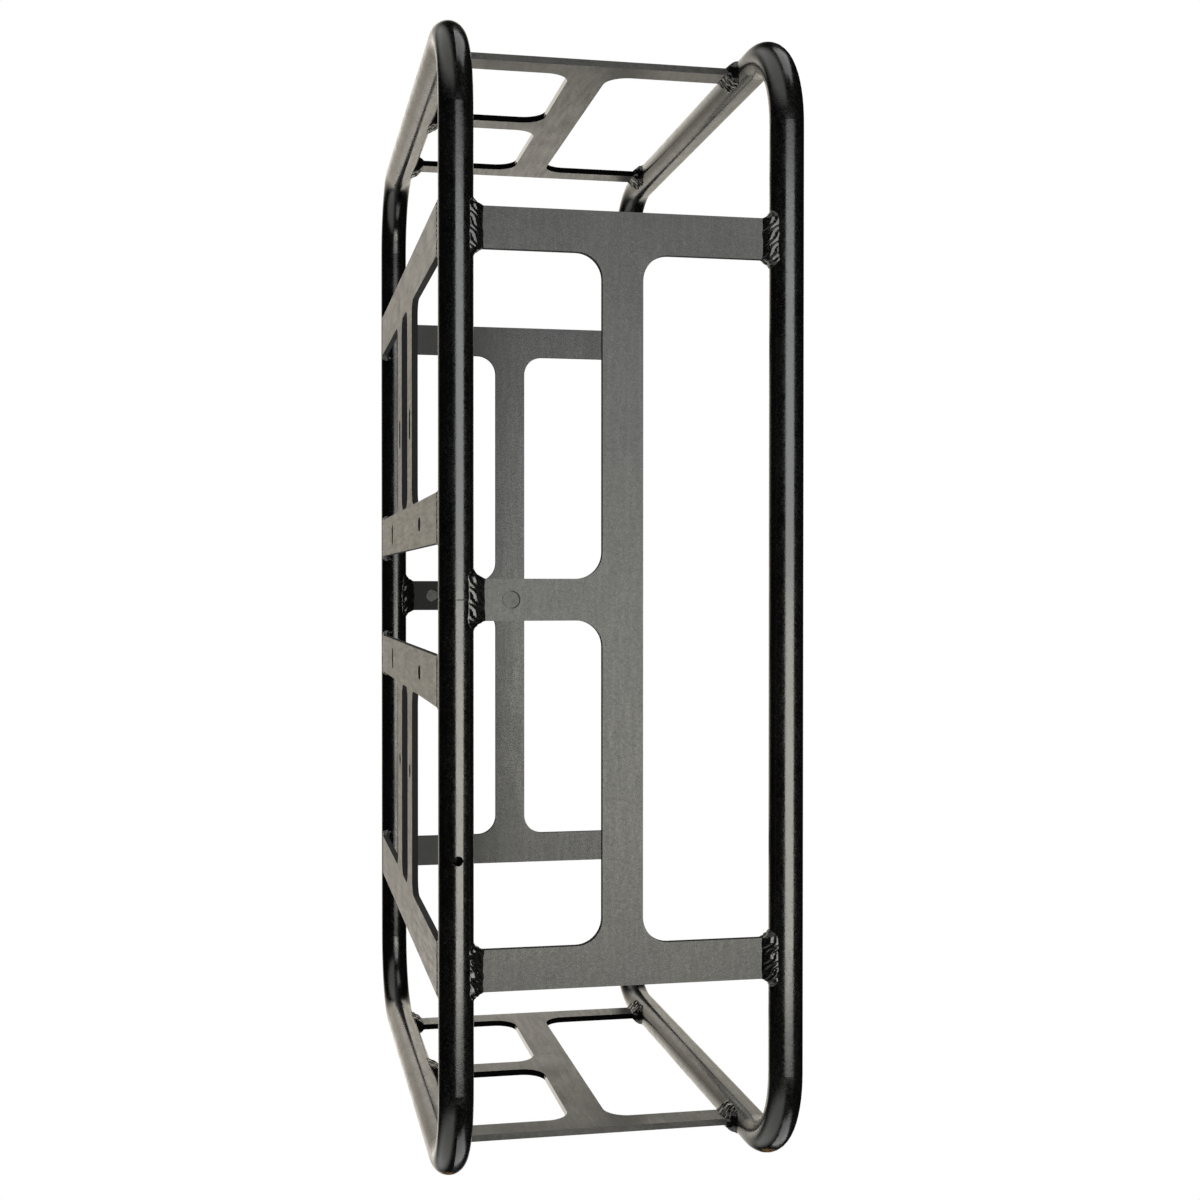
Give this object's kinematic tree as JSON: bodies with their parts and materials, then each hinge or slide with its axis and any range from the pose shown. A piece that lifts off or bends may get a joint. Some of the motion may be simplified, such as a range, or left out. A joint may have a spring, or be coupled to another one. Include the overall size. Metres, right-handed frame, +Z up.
{
  "type": "carrier basket",
  "caption": "Shallow open cargo basket for a carrier rack: a bent-tube floor ring and rim ring joined by slim welded plates, with slatted floor panels.",
  "frame": {"origin": "middle of the underside, where the basket stands", "axes": "+X along the length, +Y across the width, +Z up out of the open top"},
  "size_m": [0.542, 0.336, 0.171],
  "materials": {
    "tube_coat": "satin black powder coat",
    "plate_coat": "satin black powder coat",
    "floor_coat": "satin black powder coat",
    "plug_coat": "satin black powder coat",
    "weld_coat": "glossy black powder coat over a rippled weld bead"
  },
  "bodies": {
    "root": {"floor_ring": "tube_coat", "rim_ring": "tube_coat", "front_side_plate": "plate_coat", "back_side_plate": "plate_coat", "left_end_plate": "plate_coat", "right_end_plate": "plate_coat", "left_floor_panel": "floor_coat", "right_floor_panel": "floor_coat", "front_plug": "plug_coat", "back_plug": "plug_coat", "front_left_rim_weld": "weld_coat", "front_right_rim_weld": "weld_coat", "front_left_floor_weld": "weld_coat", "front_middle_floor_weld": "weld_coat", "front_right_floor_weld": "weld_coat", "back_left_rim_weld": "weld_coat", "back_right_rim_weld": "weld_coat", "back_left_floor_weld": "weld_coat", "back_middle_floor_weld": "weld_coat", "back_right_floor_weld": "weld_coat", "left_front_rim_weld": "weld_coat", "left_back_rim_weld": "weld_coat", "left_front_floor_weld": "weld_coat", "left_middle_floor_weld": "weld_coat", "left_back_floor_weld": "weld_coat", "right_front_rim_weld": "weld_coat", "right_back_rim_weld": "weld_coat", "right_front_floor_weld": "weld_coat", "right_middle_floor_weld": "weld_coat", "right_back_floor_weld": "weld_coat", "left_outer_slat_front_weld": "weld_coat", "left_outer_slat_back_weld": "weld_coat", "left_inner_slat_front_weld": "weld_coat", "left_inner_slat_back_weld": "weld_coat", "right_inner_slat_front_weld": "weld_coat", "right_inner_slat_back_weld": "weld_coat", "right_outer_slat_front_weld": "weld_coat", "right_outer_slat_back_weld": "weld_coat"}
  },
  "joints": []
}
